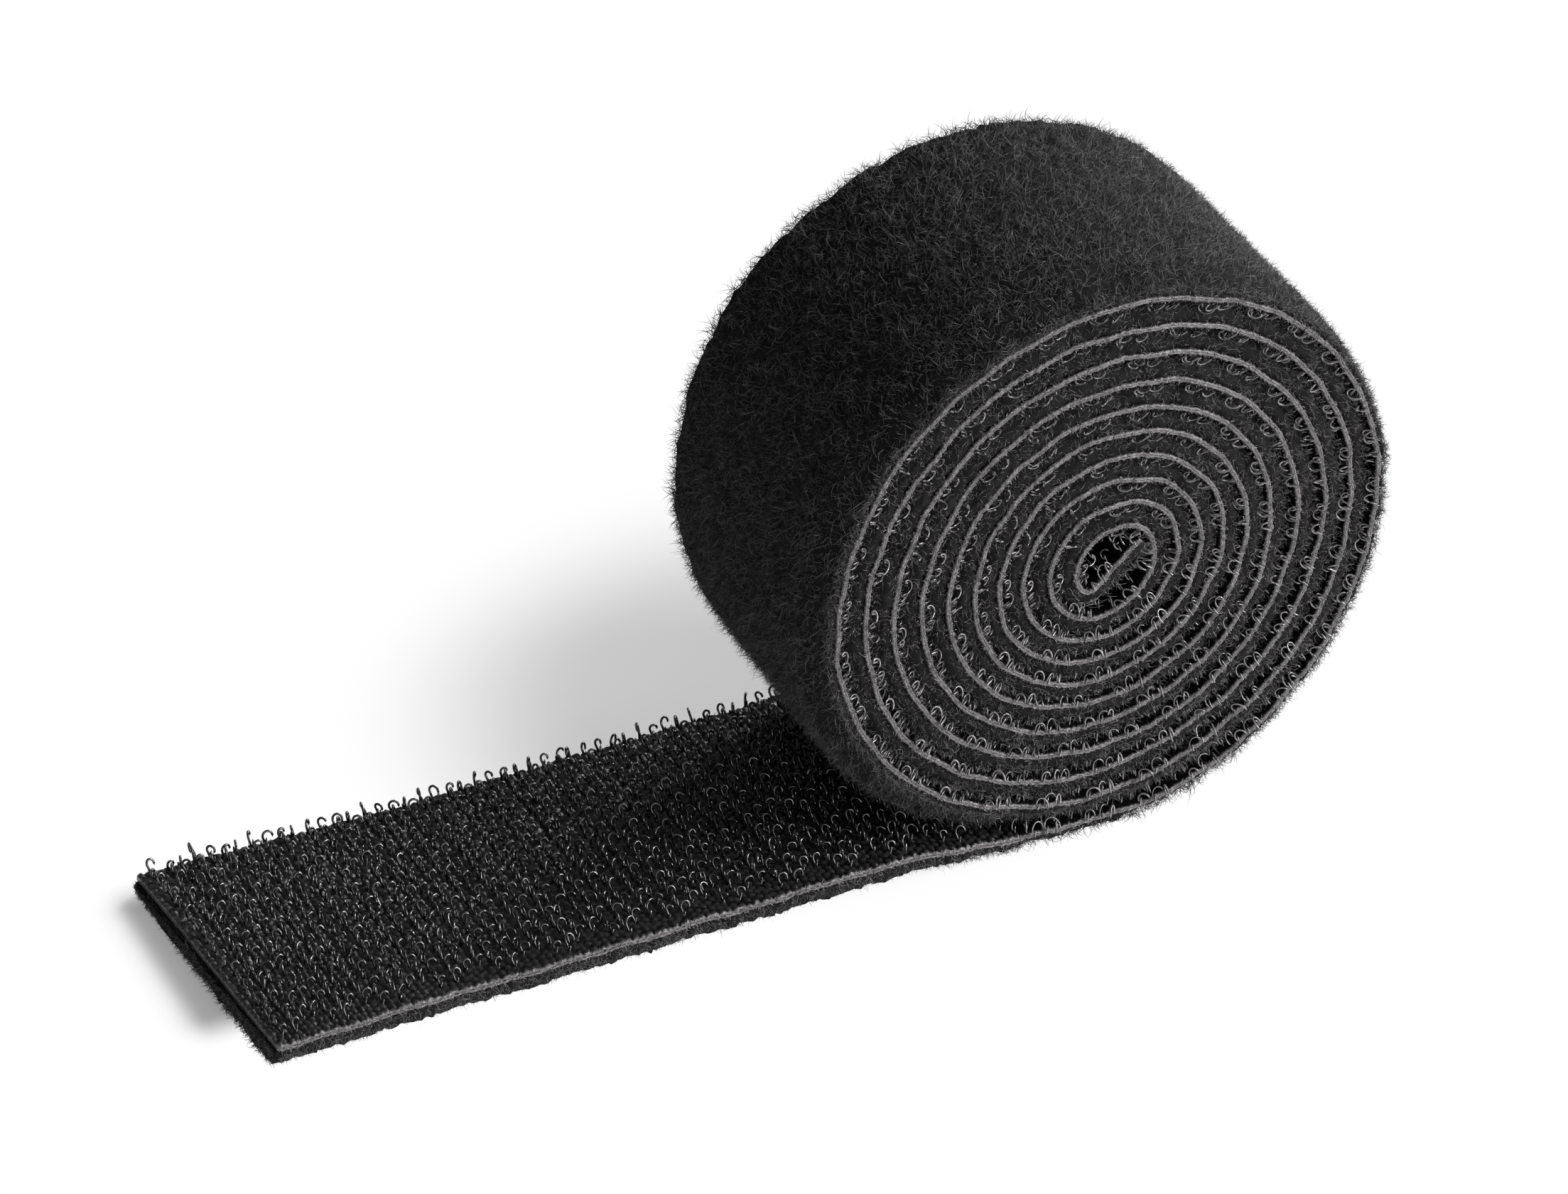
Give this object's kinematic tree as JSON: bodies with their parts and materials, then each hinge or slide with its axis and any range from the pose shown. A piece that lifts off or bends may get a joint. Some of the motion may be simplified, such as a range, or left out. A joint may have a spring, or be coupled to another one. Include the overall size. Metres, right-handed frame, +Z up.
{
  "type": "hook and loop tape roll",
  "caption": "Coreless roll of double-sided hook and loop tape, hooks inside and brushed pile outside, with its free end laid flat and flexing.",
  "frame": {"origin": "on the table, straight below the roll's axis and midway across the tape", "axes": "+Z up from the table, +Y along the roll's axis, -X along the free end"},
  "size_m": [0.1211, 0.032, 0.0636],
  "materials": {
    "pile": "brushed nylon loop pile, matt black",
    "loop_ground": "woven nylon, charcoal, cut edge grey",
    "hook_ground": "woven nylon, ribbed, black",
    "hooks": "nylon monofilament, black, shiny"
  },
  "bodies": {
    "roll": {"winding_hook_ground": "hook_ground", "winding_loop_ground": "loop_ground", "winding_pile": "pile"},
    "tail_1": {"tail_1_pile": "pile", "tail_1_loop_ground": "loop_ground", "tail_1_hook_ground": "hook_ground", "tail_1_hooks": "hooks"},
    "tail_2": {"tail_2_pile": "pile", "tail_2_loop_ground": "loop_ground", "tail_2_hook_ground": "hook_ground", "tail_2_hooks": "hooks"},
    "tail_3": {"tail_3_pile": "pile", "tail_3_loop_ground": "loop_ground", "tail_3_hook_ground": "hook_ground", "tail_3_hooks": "hooks"},
    "tail_4": {"tail_4_pile": "pile", "tail_4_loop_ground": "loop_ground", "tail_4_hook_ground": "hook_ground", "tail_4_hooks": "hooks"}
  },
  "joints": [
    {"name": "tail_flex_1", "type": "hinge", "parent": "roll", "child": "tail_1", "pos_m": [-0.0175, 0, 0.00155], "axis": [0, 1, 0], "range_deg": [-45, 38], "stiffness_Nm_per_rad": 0.003},
    {"name": "tail_flex_2", "type": "hinge", "parent": "tail_1", "child": "tail_2", "pos_m": [-0.0355, 0, 0.00155], "axis": [0, 1, 0], "range_deg": [-45, 30], "stiffness_Nm_per_rad": 0.003},
    {"name": "tail_flex_3", "type": "hinge", "parent": "tail_2", "child": "tail_3", "pos_m": [-0.0535, 0, 0.00155], "axis": [0, 1, 0], "range_deg": [-45, 30], "stiffness_Nm_per_rad": 0.003},
    {"name": "tail_flex_4", "type": "hinge", "parent": "tail_3", "child": "tail_4", "pos_m": [-0.0715, 0, 0.00155], "axis": [0, 1, 0], "range_deg": [-45, 30], "stiffness_Nm_per_rad": 0.003}
  ]
}
